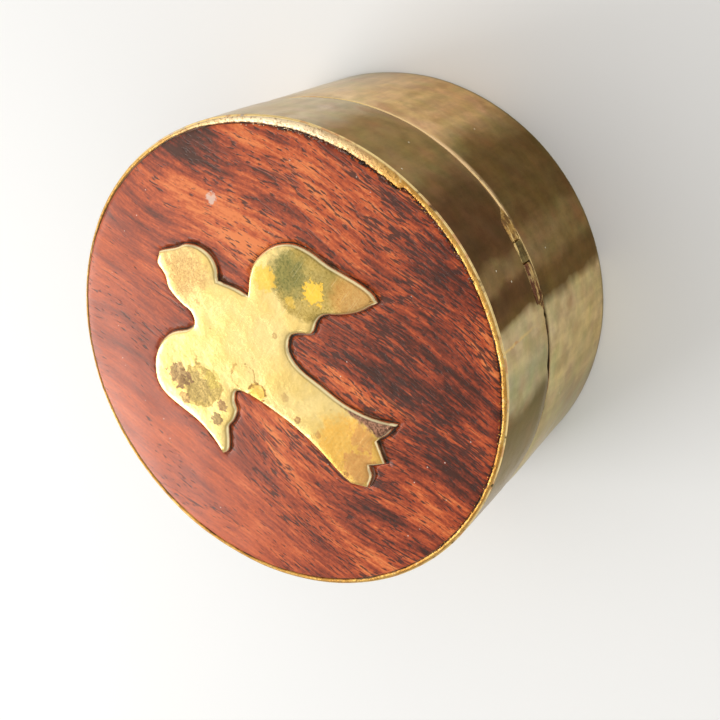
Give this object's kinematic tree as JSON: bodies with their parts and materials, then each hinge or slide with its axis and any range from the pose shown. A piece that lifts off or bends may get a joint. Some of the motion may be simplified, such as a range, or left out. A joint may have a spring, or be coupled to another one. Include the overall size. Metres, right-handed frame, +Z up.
{
  "type": "hinged pill box",
  "caption": "Round brass pill box with a hinged lid, an inlaid hardwood lid panel and a brass bird set into the wood.",
  "frame": {"origin": "centre of the underside of the base, on the axis of the round wall", "axes": "+Z up along the axis of the box, towards the lid panel; +Y towards the hinge at the back; +X to the right, seen from the front"},
  "size_m": [0.044, 0.0441, 0.025],
  "materials": {
    "brass_sheet": "aged satin",
    "brass_solder": "satin",
    "rim_brass": "filed satin",
    "rosewood": "clear lacquer",
    "cement": "matte",
    "polished_brass": "polished, tarnished in places",
    "hinge_brass": "satin",
    "pin_brass": "satin"
  },
  "bodies": {
    "base": {"base_band": "brass_sheet", "base_joint_solder": "brass_solder", "base_plate": "brass_sheet", "base_plate_solder": "brass_solder", "collar": "brass_sheet", "base_knuckle": "hinge_brass", "base_hinge_solder": "brass_solder"},
    "lid": {"lid_band": "brass_sheet", "lid_joint_solder": "brass_solder", "rim_solder": "rim_brass", "lid_plate": "brass_sheet", "lid_plate_solder": "brass_solder", "wood_panel": "rosewood", "panel_cement": "cement", "bird_inlay": "polished_brass", "bird_cement": "cement", "lid_knuckle_left": "hinge_brass", "lid_knuckle_right": "hinge_brass", "lid_hinge_solder": "brass_solder", "hinge_pin": "pin_brass"}
  },
  "joints": [
    {"name": "lid_hinge", "type": "hinge", "parent": "base", "child": "lid", "pos_m": [0, 0.0213, 0.01535], "axis": [-1, 0, 0], "range_deg": [0, 95]}
  ]
}
